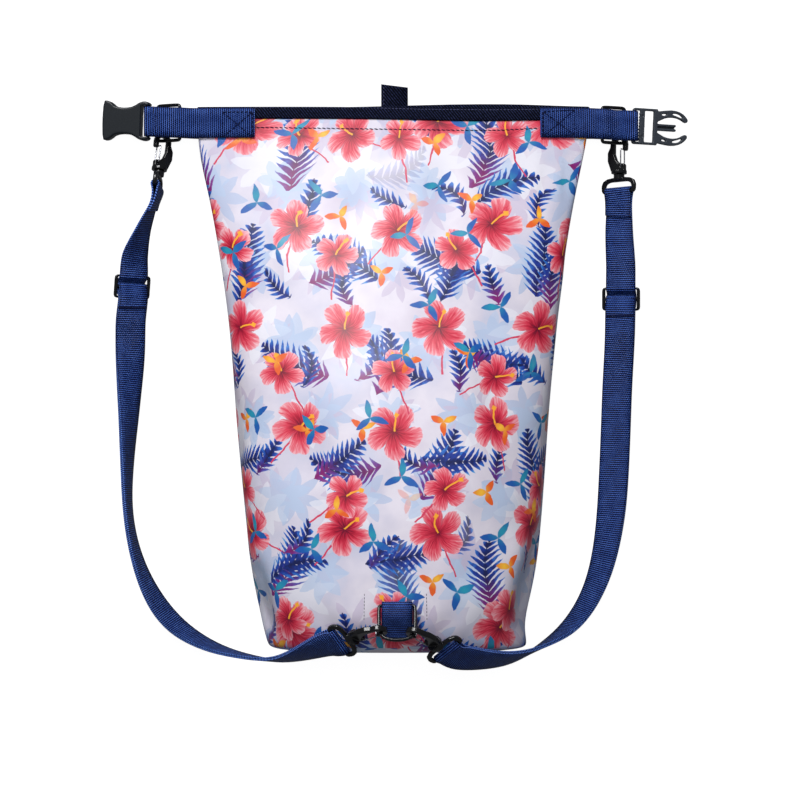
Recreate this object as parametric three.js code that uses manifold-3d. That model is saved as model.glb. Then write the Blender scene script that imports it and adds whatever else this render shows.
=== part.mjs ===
import * as THREE from 'three';
import { mergeVertices } from 'three/addons/utils/BufferGeometryUtils.js';
import Module from 'manifold-3d';

const wasm = await Module();
wasm.setup();

// Driving sizes in millimetres. The bag lies on its back: +X right, +Y to the mouth, +Z up.
const GAP = 0.3;
const WEB_WIDTH = 25;
const WEB_THICK = 1.3;
const WALL = 1.1;
const TAPE_THICK = 0.6;
const TAPE_GAP = 0.5;
const RING_WIRE = 1.7;
const GATE_WIRE = 0.65;
const HOOK_INNER = 3.9;
const HOOK_OUTER = 7.8;
const HOOK_SPINE = 10.2;
const HOOK_THICK = 4.8;
const HOOK_PIVOT = { x: 3.2, y: -18.6 };
const HOOK_SEAT = 1.2;
const EYE_BAR = -40;
const TAIL_Y = 214.2;
const TAIL_RING_TILT = 35;
const BASE_RING_TILT = 30;

// Bag sections along Y: half widths, underside, side level, crown, side half band, crown power
const BAG_COLUMNS = ['y', 'left', 'right', 'under', 'side', 'top', 'band', 'power'];
const BAG_ROWS = [
  [-225.2, 100.4, 108.8, 5.0, 41.0, 89.0, 2.0, 2.3],
  [-221.2, 104.4, 112.2, 1.0, 40.5, 97.5, 2.0, 2.3],
  [-213.0, 107.2, 111.0, 0.0, 40.0, 104.0, 2.0, 2.3],
  [-202.5, 110.3, 110.6, 0.0, 40.0, 108.5, 2.0, 2.25],
  [-188.4, 113.2, 113.8, 0.0, 40.0, 112.0, 2.0, 2.2],
  [-171.7, 116.1, 117.5, 0.0, 40.0, 113.5, 2.0, 2.2],
  [-146.7, 119.5, 121.3, 0.0, 39.8, 114.0, 2.0, 2.15],
  [-109.0, 123.4, 124.4, 0.0, 38.4, 112.0, 2.0, 2.1],
  [-71.8, 127.1, 127.2, 0.0, 37.0, 107.0, 2.0, 2.1],
  [-34.0, 130.8, 129.6, 0.0, 35.4, 99.8, 2.0, 2.05],
  [3.3, 133.1, 132.8, 0.0, 33.8, 91.0, 2.0, 2.0],
  [41.0, 136.3, 136.4, 0.0, 31.2, 80.3, 2.0, 2.0],
  [78.6, 141.3, 141.4, 0.0, 28.5, 68.5, 2.0, 2.0],
  [103.7, 145.5, 144.0, 0.2, 26.8, 60.0, 2.0, 2.0],
  [128.9, 150.6, 149.0, 1.4, 25.2, 51.5, 2.0, 2.0],
  [154.1, 155.6, 153.8, 3.8, 23.6, 43.5, 2.1, 2.0],
  [179.3, 160.9, 158.4, 7.5, 22.0, 36.5, 2.3, 2.0],
  [200.3, 163.4, 162.7, 11.5, 21.2, 31.5, 2.6, 2.0],
  [217.2, 164.3, 164.4, 14.3, 20.6, 28.3, 2.6, 2.0],
  [227.3, 164.3, 165.2, 15.5, 20.4, 27.0, 2.6, 2.0],
];
const BASE_BULGE = -227.5;
const CROWN_STEPS = 18;
const FLANK_STEPS = 5;
const FLAT_STEPS = 4;
const FLAT_SHARE = 0.6;

// Soft dents: centre, reach along each axis, depth toward the bag axis
const DENT_COLUMNS = ['x', 'y', 'z', 'reachX', 'reachY', 'reachZ', 'depth'];
const DENTS = [
  [-112, -196, 62, 26, 22, 20, 5],
  [114, -188, 66, 24, 30, 22, 5],
  [-60, -218, 96, 40, 12, 16, 3],
  [148, 160, 34, 9, 34, 16, 2.5],
  [-152, 150, 34, 8, 40, 16, 2],
];

// Opening of the mouth: rise of the front rim and drop of the rear rim to the right of centre
const MOUTH = { centre: 72, reach: 74, rise: 3.5, drop: 1.6, frontBack: 2.4, rearForward: 3.4, start: 150 };

// Strap centre lines from the upper eye to the lower eye: position and roll of the webbing
const STRAP_COLUMNS = ['x', 'y', 'z', 'roll'];
const STRAP_LEFT_ROWS = [
  [-208.0, 129.5, 18.2, 70],
  [-212.6, 116.9, 15.4, 56],
  [-217.5, 99.0, 12.7, 32],
  [-218.6, 88.5, 11.9, 26],
  [-219.4, 77.5, 11.4, 26],
  [-220.2, 66.5, 10.9, 26],
  [-220.8, 53.0, 9.4, 19],
  [-220.9, 37.2, 6.2, 9],
  [-221.2, 16.1, 7.8, 24],
  [-221.8, -9.2, 11.4, 45],
  [-222.2, -34.4, 13.2, 59],
  [-223.2, -59.6, 14.2, 70],
  [-223.5, -84.8, 14.8, 78],
  [-223.1, -110.0, 14.9, 82],
  [-219.3, -135.2, 14.8, 80],
  [-212.2, -160.4, 14.4, 74],
  [-200.5, -185.7, 13.6, 62],
  [-186.6, -204.2, 13.8, 60],
  [-170.3, -216.1, 18.0, 68],
  [-148.9, -225.9, 27.0, 80],
  [-123.2, -231.4, 41.0, 90],
  [-93.4, -233.2, 62.5, 102],
];
const STRAP_RIGHT_ROWS = [
  [190.4, 117.1, 9.4, -25],
  [191.6, 91.9, 8.6, -15],
  [192.0, 79.0, 8.4, -12],
  [192.0, 67.5, 8.2, -12],
  [192.0, 56.0, 8.0, -12],
  [190.9, 36.0, 6.4, -9],
  [190.1, 16.1, 4.8, -8],
  [188.9, -9.2, 4.6, -8],
  [187.6, -47.0, 4.8, -9],
  [185.8, -85.0, 6.2, -15],
  [184.0, -110.2, 8.2, -25],
  [180.5, -135.4, 10.6, -37],
  [174.9, -160.5, 12.0, -47],
  [167.7, -179.8, 13.0, -55],
  [157.1, -198.3, 14.6, -62],
  [146.0, -210.6, 19.0, -71],
  [129.6, -221.0, 31.0, -86],
  [114.1, -228.0, 45.0, -100],
  [92.8, -232.4, 64.0, -118],
];

// Hooks: axis from the ring to the eye, normal of the hook's plane, side of the gate
const HOOKS = {
  top_left: { axis: [-0.1, -1, 0.25], plane: [0.53, 0, 0.85], gateSide: -1 },
  top_right: { axis: [-0.02, -1, 0.1], plane: [-0.53, 0, 0.85], gateSide: 1 },
  low_left: { axis: [-0.81, -0.25, -0.52], gateSide: 1 },
  low_right: { axis: [0.64, -0.4, -0.6], gateSide: -1 },
};

// Colours of the material families
const COLOURS = {
  fabric: 0xd9d2e2,
  webbing: 0x24356f,
  tape: 0x15172a,
  plastic: 0x17181b,
  steel: 0xb9bdc2,
};

const group = new THREE.Group();
group.name = 'dry_bag_backpack';

function named(columns, row) {
  return Object.fromEntries(columns.map((key, i) => [key, row[i]]));
}

function vec(list) {
  return new THREE.Vector3(...list);
}

function add(name, geometry, kind) {
  const clean = geometry.clone();
  clean.deleteAttribute('uv');
  clean.deleteAttribute('normal');
  const merged = mergeVertices(clean, 1e-4);
  merged.computeVertexNormals();
  const look = kind === 'steel' ? { metalness: 1, roughness: 0.3 } : { metalness: 0, roughness: 0.6 };
  const material = new THREE.MeshStandardMaterial({ color: COLOURS[kind], ...look });
  const mesh = new THREE.Mesh(merged, material);
  mesh.name = name;
  group.add(mesh);
  return mesh;
}

function signedVolume(positions, index) {
  let sum = 0;
  for (let i = 0; i < index.length; i += 3) {
    const [a, b, c] = [0, 1, 2].map((k) => positions[index[i + k]]);
    sum += a.dot(b.clone().cross(c));
  }
  return sum / 6;
}

// Skin over equal rings of points; open skins get a fan at each end
// Faces of four-cornered tapes are halved along one slant in space, so that twisted plies stay apart
const TAPE_SLANT = new THREE.Vector3(0.83, 0.55, 0.1);
function loft(rings, closed = false, capCentres = null) {
  const count = rings[0].length;
  const positions = rings.flat();
  const index = [];
  const spans = closed ? rings.length : rings.length - 1;
  for (let i = 0; i < spans; i++) {
    const j = (i + 1) % rings.length;
    for (let k = 0; k < count; k++) {
      const m = (k + 1) % count;
      const corners = [i * count + k, j * count + k, j * count + m, i * count + m];
      const slant = corners.map((c) => positions[c].dot(TAPE_SLANT));
      const turned = count === 4 && slant.indexOf(Math.min(...slant)) % 2 === 1;
      const [a, b, c, d] = turned ? [...corners.slice(1), corners[0]] : corners;
      index.push(a, b, c, a, c, d);
    }
  }
  if (!closed) {
    const ends = [rings[0], rings[rings.length - 1]];
    ends.forEach((ring, e) => {
      const mean = ring.reduce((sum, p) => sum.add(p), new THREE.Vector3()).divideScalar(count);
      const centre = positions.push(capCentres ? capCentres[e] : mean) - 1;
      const base = e === 0 ? 0 : (rings.length - 1) * count;
      for (let k = 0; k < count; k++) {
        const m = (k + 1) % count;
        if (e === 0) index.push(centre, base + k, base + m);
        else index.push(centre, base + m, base + k);
      }
    });
  }
  if (signedVolume(positions, index) < 0) {
    for (let i = 0; i < index.length; i += 3) {
      [index[i + 1], index[i + 2]] = [index[i + 2], index[i + 1]];
    }
  }
  const geometry = new THREE.BufferGeometry();
  const flat = positions.flatMap((p) => [p.x, p.y, p.z]);
  geometry.setAttribute('position', new THREE.Float32BufferAttribute(flat, 3));
  geometry.setIndex(index);
  return geometry;
}

// Round wire along a run of points
function wire(points, radius, closed, startNormal, sides = 8) {
  const n = points.length;
  const normal = startNormal.clone();
  const rings = points.map((p, i) => {
    const before = points[closed ? (i + n - 1) % n : Math.max(i - 1, 0)];
    const after = points[closed ? (i + 1) % n : Math.min(i + 1, n - 1)];
    const tangent = after.clone().sub(before).normalize();
    normal.addScaledVector(tangent, -normal.dot(tangent)).normalize();
    const side = tangent.clone().cross(normal);
    return Array.from({ length: sides }, (_, k) => {
      const angle = (2 * Math.PI * k) / sides;
      const out = normal.clone().multiplyScalar(Math.cos(angle) * radius);
      return p.clone().add(out.addScaledVector(side, Math.sin(angle) * radius));
    });
  });
  return loft(rings, closed);
}

// Corner points joined by rounded bends
function rounded(corners, radius, closed, steps = 4) {
  const n = corners.length;
  const points = [];
  corners.forEach((corner, i) => {
    if (!closed && (i === 0 || i === n - 1)) {
      points.push(corner.clone());
      return;
    }
    const before = corners[(i + n - 1) % n].clone().sub(corner).setLength(radius).add(corner);
    const after = corners[(i + 1) % n].clone().sub(corner).setLength(radius).add(corner);
    const bend = new THREE.QuadraticBezierCurve3(before, corner, after);
    points.push(...bend.getPoints(steps));
  });
  return points;
}

// Webbing from a run of (along, off) points mapped into space by place(along, off, across)
function webbing(run, width, thick, place) {
  const rings = run.map((p, i) => {
    const before = run[Math.max(i - 1, 0)];
    const after = run[Math.min(i + 1, run.length - 1)];
    const t = after.clone().sub(before).normalize();
    const n = new THREE.Vector2(-t.y, t.x).multiplyScalar(thick / 2);
    const upper = p.clone().add(n);
    const lower = p.clone().sub(n);
    return [
      place(upper.x, upper.y, width / 2),
      place(upper.x, upper.y, -width / 2),
      place(lower.x, lower.y, -width / 2),
      place(lower.x, lower.y, width / 2),
    ];
  });
  return loft(rings);
}

function pairs(list) {
  return list.map(([a, b]) => new THREE.Vector2(a, b));
}

function arc(cx, cy, radius, from, to, steps) {
  return Array.from({ length: steps + 1 }, (_, i) => {
    const angle = THREE.MathUtils.degToRad(from + ((to - from) * i) / steps);
    return [cx + radius * Math.cos(angle), cy + radius * Math.sin(angle)];
  });
}

// Flat plate with bevelled edges, centred on its own plane
function plate(drawn, thick, bevel, curveSegments = 6) {
  const { shape: outline, holes } = drawn.extractPoints(curveSegments);
  if (THREE.ShapeUtils.isClockWise(outline)) outline.reverse();
  const shape = new THREE.Shape(outline);
  shape.holes = holes.map((points) => new THREE.Path(points));
  const geometry = new THREE.ExtrudeGeometry(shape, {
    depth: thick - 2 * bevel,
    bevelEnabled: true,
    bevelThickness: bevel,
    bevelSize: bevel,
    bevelOffset: -bevel,
    bevelSegments: 1,
  });
  geometry.translate(0, 0, -(thick - 2 * bevel) / 2);
  return geometry;
}

function solid(geometry) {
  const clean = geometry.clone();
  clean.deleteAttribute('uv');
  clean.deleteAttribute('normal');
  const merged = mergeVertices(clean, 1e-4);
  const vertProperties = new Float32Array(merged.attributes.position.array);
  const triVerts = new Uint32Array(merged.index.array);
  return new wasm.Manifold(new wasm.Mesh({ numProp: 3, vertProperties, triVerts }));
}

function geometryOf(body) {
  const mesh = body.getMesh();
  const geometry = new THREE.BufferGeometry();
  geometry.setAttribute('position', new THREE.Float32BufferAttribute(mesh.vertProperties, 3));
  geometry.setIndex(Array.from(mesh.triVerts));
  return geometry;
}

function box(x0, x1, y0, y1, z0, z1) {
  const geometry = new THREE.BoxGeometry(x1 - x0, y1 - y0, z1 - z0);
  geometry.translate((x0 + x1) / 2, (y0 + y1) / 2, (z0 + z1) / 2);
  return geometry;
}

function pin(radius, y0, y1, sides = 16) {
  const geometry = new THREE.CylinderGeometry(radius, radius, y1 - y0, sides);
  geometry.translate(0, (y0 + y1) / 2, 0);
  return geometry;
}

// Bag body
const bagRows = BAG_ROWS.map((row) => named(BAG_COLUMNS, row));
const dents = DENTS.map((row) => named(DENT_COLUMNS, row));

function bagAt(y) {
  const last = bagRows.length - 1;
  let i = bagRows.findIndex((row) => row.y > y);
  if (i === -1) i = last;
  i = Math.max(i, 1);
  const a = bagRows[i - 1];
  const b = bagRows[i];
  const share = (y - a.y) / (b.y - a.y);
  return Object.fromEntries(BAG_COLUMNS.map((key) => [key, a[key] + (b[key] - a[key]) * share]));
}

function mouthShare(y) {
  return THREE.MathUtils.smoothstep(y, MOUTH.start, bagRows[bagRows.length - 1].y);
}

function mouthBump(x) {
  return Math.exp(-(((x - MOUTH.centre) / MOUTH.reach) ** 2));
}

function crownZ(x, y) {
  const row = bagAt(y);
  const half = x < 0 ? row.left : row.right;
  const share = Math.max(0, 1 - Math.abs(x / half) ** row.power) ** (1 / row.power);
  const lift = MOUTH.rise * mouthBump(x) * mouthShare(y) * share;
  return row.side + row.band + (row.top - row.side - row.band) * share + lift;
}

function underZ(x, y) {
  const row = bagAt(y);
  const half = x < 0 ? row.left : row.right;
  const flat = FLAT_SHARE * half;
  const across = THREE.MathUtils.clamp((Math.abs(x) - flat) / (half - flat), 0, 1);
  const low = row.side - row.band;
  return low - (low - row.under) * Math.sqrt(1 - across * across);
}

// One closed section of the bag, drawn in from its outer face by inset
function bagSection(row, inset) {
  const band = row.band - (row.band > inset + 0.6 ? inset : inset * 0.6);
  const points = [];
  const mouth = mouthShare(row.y);
  const place = (x, z, front) => {
    const bump = mouthBump(x) * mouth;
    const p = new THREE.Vector3(x, row.y + bump * (front ? -MOUTH.frontBack : MOUTH.rearForward), z);
    dents.forEach((dent) => {
      const far = ((x - dent.x) / dent.reachX) ** 2 + ((row.y - dent.y) / dent.reachY) ** 2;
      const share = Math.exp(-far - ((z - dent.z) / dent.reachZ) ** 2);
      const inward = new THREE.Vector3(-x, 0, row.side - z).normalize();
      p.addScaledVector(inward, dent.depth * share);
    });
    points.push(p);
  };
  for (let k = 0; k <= CROWN_STEPS; k++) {
    const angle = (Math.PI * k) / CROWN_STEPS;
    const half = (Math.cos(angle) > 0 ? row.right : row.left) - inset;
    const x = half * Math.sign(Math.cos(angle)) * Math.abs(Math.cos(angle)) ** (2 / row.power);
    const rise = Math.sin(angle) ** (2 / row.power);
    const lift = MOUTH.rise * mouthBump(x) * mouth * rise;
    place(x, row.side + band + (row.top - inset - row.side - band) * rise + lift, true);
  }
  const low = row.side - band;
  const under = row.under + inset;
  for (let k = 0; k <= FLANK_STEPS; k++) {
    const angle = (Math.PI / 2) * (k / FLANK_STEPS);
    const half = row.left - inset;
    const x = -half * (FLAT_SHARE + (1 - FLAT_SHARE) * Math.cos(angle));
    place(x, low - (low - under) * Math.sin(angle), false);
  }
  for (let k = 1; k < FLAT_STEPS; k++) {
    const share = k / FLAT_STEPS;
    const x = THREE.MathUtils.lerp(-(row.left - inset), row.right - inset, share) * FLAT_SHARE;
    place(x, under - MOUTH.drop * mouthBump(x) * mouth, false);
  }
  for (let k = FLANK_STEPS; k >= 0; k--) {
    const angle = (Math.PI / 2) * (k / FLANK_STEPS);
    const half = row.right - inset;
    const x = half * (FLAT_SHARE + (1 - FLAT_SHARE) * Math.cos(angle));
    place(x, low - (low - under) * Math.sin(angle), false);
  }
  return points;
}

const outerRings = bagRows.map((row) => bagSection(row, 0));
const innerRings = bagRows.map((row) => bagSection(row, WALL));
innerRings[0].forEach((p) => { p.y += WALL; });
const baseMiddle = (bagRows[0].under + bagRows[0].top) / 2;
const baseCentres = [
  new THREE.Vector3(0, BASE_BULGE, baseMiddle),
  new THREE.Vector3(0, BASE_BULGE + WALL, baseMiddle),
];
add('bag_body', loft([...outerRings, ...innerRings.reverse()], false, baseCentres), 'fabric');

// Mouth binding: tape folded over the rim, its legs lying on the two faces of the wall
const rim = { outer: outerRings[outerRings.length - 1], inner: innerRings[0] };
const foot = { outer: outerRings[outerRings.length - 2], inner: innerRings[1] };

function outward(loop, i) {
  const n = loop.length;
  const run = loop[(i + 1) % n].clone().sub(loop[(i + n - 1) % n]).setY(0).normalize();
  return new THREE.Vector3(run.z, 0, -run.x);
}

const tapeRings = rim.outer.map((_, i) => {
  const spot = (loop, offset, lift) => {
    const p = loop[i].clone().addScaledVector(outward(loop, i), offset);
    p.y += lift;
    return p;
  };
  const far = TAPE_GAP + TAPE_THICK;
  return [
    spot(foot.outer, far, 0),
    spot(rim.outer, far, far),
    spot(rim.inner, -far, far),
    spot(foot.inner, -far, 0),
    spot(foot.inner, -TAPE_GAP, 0),
    spot(rim.inner, -TAPE_GAP, TAPE_GAP),
    spot(rim.outer, TAPE_GAP, TAPE_GAP),
    spot(foot.outer, TAPE_GAP, 0),
  ];
});
add('mouth_binding', loft(tapeRings, true), 'tape');

// Hang tab: tape folded into a loop and sewn behind the rear rim
const TAB = { x: 1.3, width: 22.5, sewn: 196, rim: 212, tip: 246.6, thick: 1.2, spread: 0.9, lead: 3.6 };
const tabTop = underZ(0, TAB.sewn) - GAP - TAB.thick - TAB.spread / 2;
const tabLow = tabTop - 2 * TAB.spread;
const tabRun = pairs([
  [TAB.sewn, tabTop],
  [TAB.rim, tabTop],
  [TAB.tip - TAB.lead, tabTop + TAB.spread / 2],
  ...arc(TAB.tip, tabTop - TAB.spread, TAB.spread + GAP, 80, -80, 6),
  [TAB.tip - TAB.lead, tabLow - TAB.spread / 2],
  [TAB.rim, tabLow],
  [TAB.sewn, tabLow],
]);
add('hang_tab', webbing(tabRun, TAB.width, TAB.thick, (y, z, across) => (
  new THREE.Vector3(TAB.x + across, y, z))), 'tape');

// Tails: front ply, fold round the buckle bar, rear ply; side is -1 left, +1 right
const TAILS = {
  left: { side: -1, sewn: 115.5, bar: 205.2, ringBar: 178.6, shear: 0.05 },
  right: { side: 1, sewn: 123.1, bar: 202.0, ringBar: 175.4, shear: -0.05 },
};
const TAIL_BAR_Z = 18.4;
const TAIL_RING_Z = 19.6;
const TAIL_FOLD = 3.3;
const TAIL_EDGE = 166.4;
const TAIL_SLACK = 0.15;
const SEWN_SHARES = [0, 0.25, 0.5, 0.75, 0.9, 1];
const tailLowY = TAIL_Y - WEB_WIDTH / 2;
const tapeOver = TAPE_GAP + TAPE_THICK;
const [footRow, rimRow] = bagRows.slice(-2);
const bagEdge = rimRow.left - TAIL_SLACK;

function tailFrontZ(x) {
  const cover = Math.max(crownZ(x, tailLowY), crownZ(x, footRow.y) + tapeOver);
  return cover + GAP + TAIL_SLACK + WEB_THICK / 2;
}

function tailRearZ(x) {
  const cover = Math.min(underZ(x, tailLowY), underZ(x, rimRow.y) - tapeOver);
  return cover - GAP - TAIL_SLACK - WEB_THICK / 2;
}

// Half run of a tail from the sewn end to the ring: level over or under the wire by rise
function tailLeg(tail, level, rise) {
  return [
    [tail.ringBar - 6, level + 1.2 * rise],
    [tail.ringBar, level],
    [tail.ringBar + 10, level - 0.5 * rise],
    [tail.bar - 5, TAIL_BAR_Z + Math.sign(rise) * TAIL_FOLD + 0.25],
  ];
}

function tailRun(tail) {
  const sewnX = SEWN_SHARES.map((share) => THREE.MathUtils.lerp(tail.sewn, TAIL_EDGE, share));
  const onBag = (x) => tail.side * Math.min(x, bagEdge);
  const clear = RING_WIRE + GAP + WEB_THICK / 2;
  return pairs([
    ...sewnX.map((x) => [x, tailFrontZ(onBag(x))]),
    ...tailLeg(tail, TAIL_RING_Z + clear, 0.75),
    ...arc(tail.bar, TAIL_BAR_Z, TAIL_FOLD, 90, -90, 8),
    ...tailLeg(tail, TAIL_RING_Z - clear, -0.5).reverse(),
    ...sewnX.map((x) => [x, tailRearZ(onBag(x))]).reverse(),
  ]);
}

function sheared(tail, x) {
  return TAIL_Y + tail.shear * Math.max(0, x - TAIL_EDGE);
}

Object.entries(TAILS).forEach(([name, tail]) => {
  add(`tail_${name}`, webbing(tailRun(tail), WEB_WIDTH, WEB_THICK, (x, z, across) => (
    new THREE.Vector3(tail.side * x, sheared(tail, x) + across, z))), 'webbing');
});

// Rings: closed rectangular wire loops, bar at the origin, bow along the second axis
function ringPoints(halfWidth, depth, bend, barBend) {
  const bow = rounded([
    new THREE.Vector3(halfWidth, 0, 0),
    new THREE.Vector3(halfWidth, depth, 0),
    new THREE.Vector3(-halfWidth, depth, 0),
    new THREE.Vector3(-halfWidth, 0, 0),
  ], bend, false, 4).slice(1, -1);
  const heel = rounded([
    new THREE.Vector3(-halfWidth, 10, 0),
    new THREE.Vector3(-halfWidth, 0, 0),
    new THREE.Vector3(halfWidth, 0, 0),
    new THREE.Vector3(halfWidth, 10, 0),
  ], barBend, false, 3).slice(1, -1);
  return [...bow, ...heel];
}

function ringFrame(origin, along, out) {
  const up = along.clone().cross(out);
  return new THREE.Matrix4().makeBasis(along, out, up).setPosition(origin);
}

function addRing(name, frame, halfWidth, depth, bend) {
  const points = ringPoints(halfWidth, depth, bend, 2.6).map((p) => p.applyMatrix4(frame));
  const normal = new THREE.Vector3().setFromMatrixColumn(frame, 2);
  add(name, wire(points, RING_WIRE, true, normal, 7), 'plastic');
}

const TAIL_RING = { half: 14.8, depth: 24.2, bend: 3.2, seat: 18.6 };
const seats = {};
Object.entries(TAILS).forEach(([name, tail]) => {
  const tilt = THREE.MathUtils.degToRad(TAIL_RING_TILT);
  const out = new THREE.Vector3(tail.side * Math.cos(tilt), 0, -Math.sin(tilt));
  const origin = new THREE.Vector3(tail.side * tail.ringBar, sheared(tail, tail.ringBar + 8), TAIL_RING_Z);
  const frame = ringFrame(origin, new THREE.Vector3(0, 1, 0), out);
  addRing(`ring_${name}`, frame, TAIL_RING.half, TAIL_RING.depth, TAIL_RING.bend);
  const seat = new THREE.Vector3(-TAIL_RING.half, TAIL_RING.seat, 0).applyMatrix4(frame);
  seats[`top_${name}`] = { point: seat, along: out };
});

// Base ring and its tab on the front of the bag
const BASE = { x: 3.5, y: -184.4, half: 14.7, depth: 31, bend: 12, sewn: -212, fold: 2.75 };
BASE.z = crownZ(0, BASE.y) + GAP + WEB_THICK + BASE.fold + 0.4;
const baseTilt = THREE.MathUtils.degToRad(BASE_RING_TILT);
const baseOut = new THREE.Vector3(0, -Math.cos(baseTilt), Math.sin(baseTilt));
const baseFrame = ringFrame(new THREE.Vector3(BASE.x, BASE.y, BASE.z), new THREE.Vector3(1, 0, 0), baseOut);
addRing('base_ring', baseFrame, BASE.half, BASE.depth, BASE.bend);

function cornerSeat(side, share) {
  const across = BASE.half - BASE.bend * share * share;
  const down = BASE.depth - BASE.bend * (1 - share) ** 2;
  const along = new THREE.Vector3(-side * share, 1 - share, 0).normalize();
  const point = new THREE.Vector3(side * across, down, 0).applyMatrix4(baseFrame);
  return { point, along: along.transformDirection(baseFrame) };
}
seats.low_left = cornerSeat(-1, 0.16);
seats.low_right = cornerSeat(1, 0.24);

const tabSteps = [0, 0.25, 0.5, 0.75];
const tabUnder = tabSteps.map((k) => {
  const y = THREE.MathUtils.lerp(BASE.sewn, BASE.y, k);
  return [y, crownZ(0, y) + GAP + WEB_THICK / 2 + 0.3];
});
const tabOver = tabUnder.map(([y, z], i) => [y, z + 1.75 + i * 0.9]).reverse();
const baseTabRun = pairs([
  ...tabUnder,
  ...arc(BASE.y, BASE.z, BASE.fold, -95, 95, 9),
  ...tabOver,
]);
add('base_tab', webbing(baseTabRun, WEB_WIDTH, WEB_THICK, (y, z, across) => (
  new THREE.Vector3(BASE.x + across, y, z))), 'webbing');

// Snap hooks: body, swivel eye and wire gate in the frame of the hook
function hookShape() {
  const shape = new THREE.Shape();
  shape.moveTo(HOOK_INNER, -4.8);
  shape.lineTo(4.5, -5.6);
  shape.lineTo(7.0, -5.6);
  shape.lineTo(7.6, -4.4);
  shape.lineTo(HOOK_OUTER, 0);
  shape.absarc(0, 0, HOOK_OUTER, 0, Math.PI, false);
  shape.lineTo(-HOOK_OUTER, -2);
  shape.lineTo(-HOOK_SPINE, -7);
  shape.lineTo(-HOOK_SPINE, -14);
  shape.lineTo(-6.9, -22.8);
  shape.lineTo(6.0, -22.8);
  shape.lineTo(6.0, -17.4);
  shape.lineTo(4.8, -16.4);
  shape.lineTo(1.0, -16.4);
  shape.lineTo(-2.0, -13.4);
  shape.lineTo(-HOOK_INNER, -8);
  shape.lineTo(-HOOK_INNER, 0);
  shape.absarc(0, 0, HOOK_INNER, Math.PI, 0, true);
  const hole = new THREE.Path();
  hole.absarc(HOOK_PIVOT.x, HOOK_PIVOT.y, GATE_WIRE + GAP, 0, 2 * Math.PI, true);
  shape.holes.push(hole);
  return shape;
}

function hookBody() {
  const jaw = solid(plate(hookShape(), HOOK_THICK, 0.6, 5));
  const collar = solid(pin(6.7, -25, -22.2, 14));
  const socket = solid(pin(1.6 + GAP, -26, -20, 8));
  return geometryOf(jaw.add(collar).subtract(socket));
}

function eyeShape() {
  const shape = new THREE.Shape();
  shape.moveTo(5, -28);
  shape.bezierCurveTo(12, -28, 17, -30, 17, -34.4);
  shape.lineTo(17, -36.6);
  shape.bezierCurveTo(17, -39.6, 16, -41.5, 13.6, -41.5);
  shape.lineTo(-13.6, -41.5);
  shape.bezierCurveTo(-16, -41.5, -17, -39.6, -17, -36.6);
  shape.lineTo(-17, -34.4);
  shape.bezierCurveTo(-17, -30, -12, -28, -5, -28);
  const hole = new THREE.Path();
  hole.moveTo(-13.2, -38.5);
  hole.lineTo(-13.2, -35.4);
  hole.bezierCurveTo(-13.2, -33, -10, -31.8, -7, -31.8);
  hole.lineTo(7, -31.8);
  hole.bezierCurveTo(10, -31.8, 13.2, -33, 13.2, -35.4);
  hole.lineTo(13.2, -38.5);
  shape.holes.push(hole);
  return shape;
}

function eyeBody() {
  const loop = solid(plate(eyeShape(), 3.4, 0.6, 3));
  const boss = solid(pin(4.6, -30.2, -25 - GAP, 12));
  const stem = solid(pin(1.6, -26.5, -20.6, 8));
  return geometryOf(loop.add(boss).add(stem));
}

function gateWire() {
  const reach = HOOK_THICK / 2 + GAP + GATE_WIRE;
  const top = { x: HOOK_INNER - GAP - GATE_WIRE, y: -4.1 };
  const corners = [
    [HOOK_PIVOT.x, HOOK_PIVOT.y, 0.4],
    [HOOK_PIVOT.x, HOOK_PIVOT.y, reach],
    [top.x, top.y, reach],
    [top.x, top.y, -reach],
    [HOOK_PIVOT.x, HOOK_PIVOT.y, -reach],
    [HOOK_PIVOT.x, HOOK_PIVOT.y, -0.4],
  ].map(vec);
  return wire(rounded(corners, 1.1, false, 2), GATE_WIRE, false, new THREE.Vector3(1, 0, 0), 6);
}

const gatePivots = {};
const eyes = {};

function addHook(name) {
  const hook = HOOKS[name];
  const seat = seats[name];
  const up = vec(hook.axis).normalize().negate();
  const plane = (hook.plane ? vec(hook.plane) : seat.along.clone());
  plane.addScaledVector(up, -plane.dot(up)).normalize().multiplyScalar(hook.gateSide);
  const across = up.clone().cross(plane);
  const frame = new THREE.Matrix4().makeBasis(across, up, plane).setPosition(seat.point);
  frame.multiply(new THREE.Matrix4().makeTranslation(0, -HOOK_SEAT, 0));
  add(`hook_${name}`, hookBody().applyMatrix4(frame), 'plastic');
  add(`gate_${name}`, gateWire().applyMatrix4(frame), 'steel');
  gatePivots[name] = {
    point: new THREE.Vector3(HOOK_PIVOT.x, HOOK_PIVOT.y, 0).applyMatrix4(frame),
    axis: plane.clone(),
  };
  eyes[name] = { frame, up, bar: new THREE.Vector3(0, EYE_BAR, 0).applyMatrix4(frame) };
}

function addEye(name, across) {
  const { frame, up } = eyes[name];
  const x = across.clone().addScaledVector(up, -across.dot(up)).normalize();
  const turned = new THREE.Matrix4().makeBasis(x, up, x.clone().cross(up));
  turned.setPosition(new THREE.Vector3().setFromMatrixPosition(frame));
  add(`eye_${name}`, eyeBody().applyMatrix4(turned), 'plastic');
}
Object.keys(HOOKS).forEach(addHook);

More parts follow.
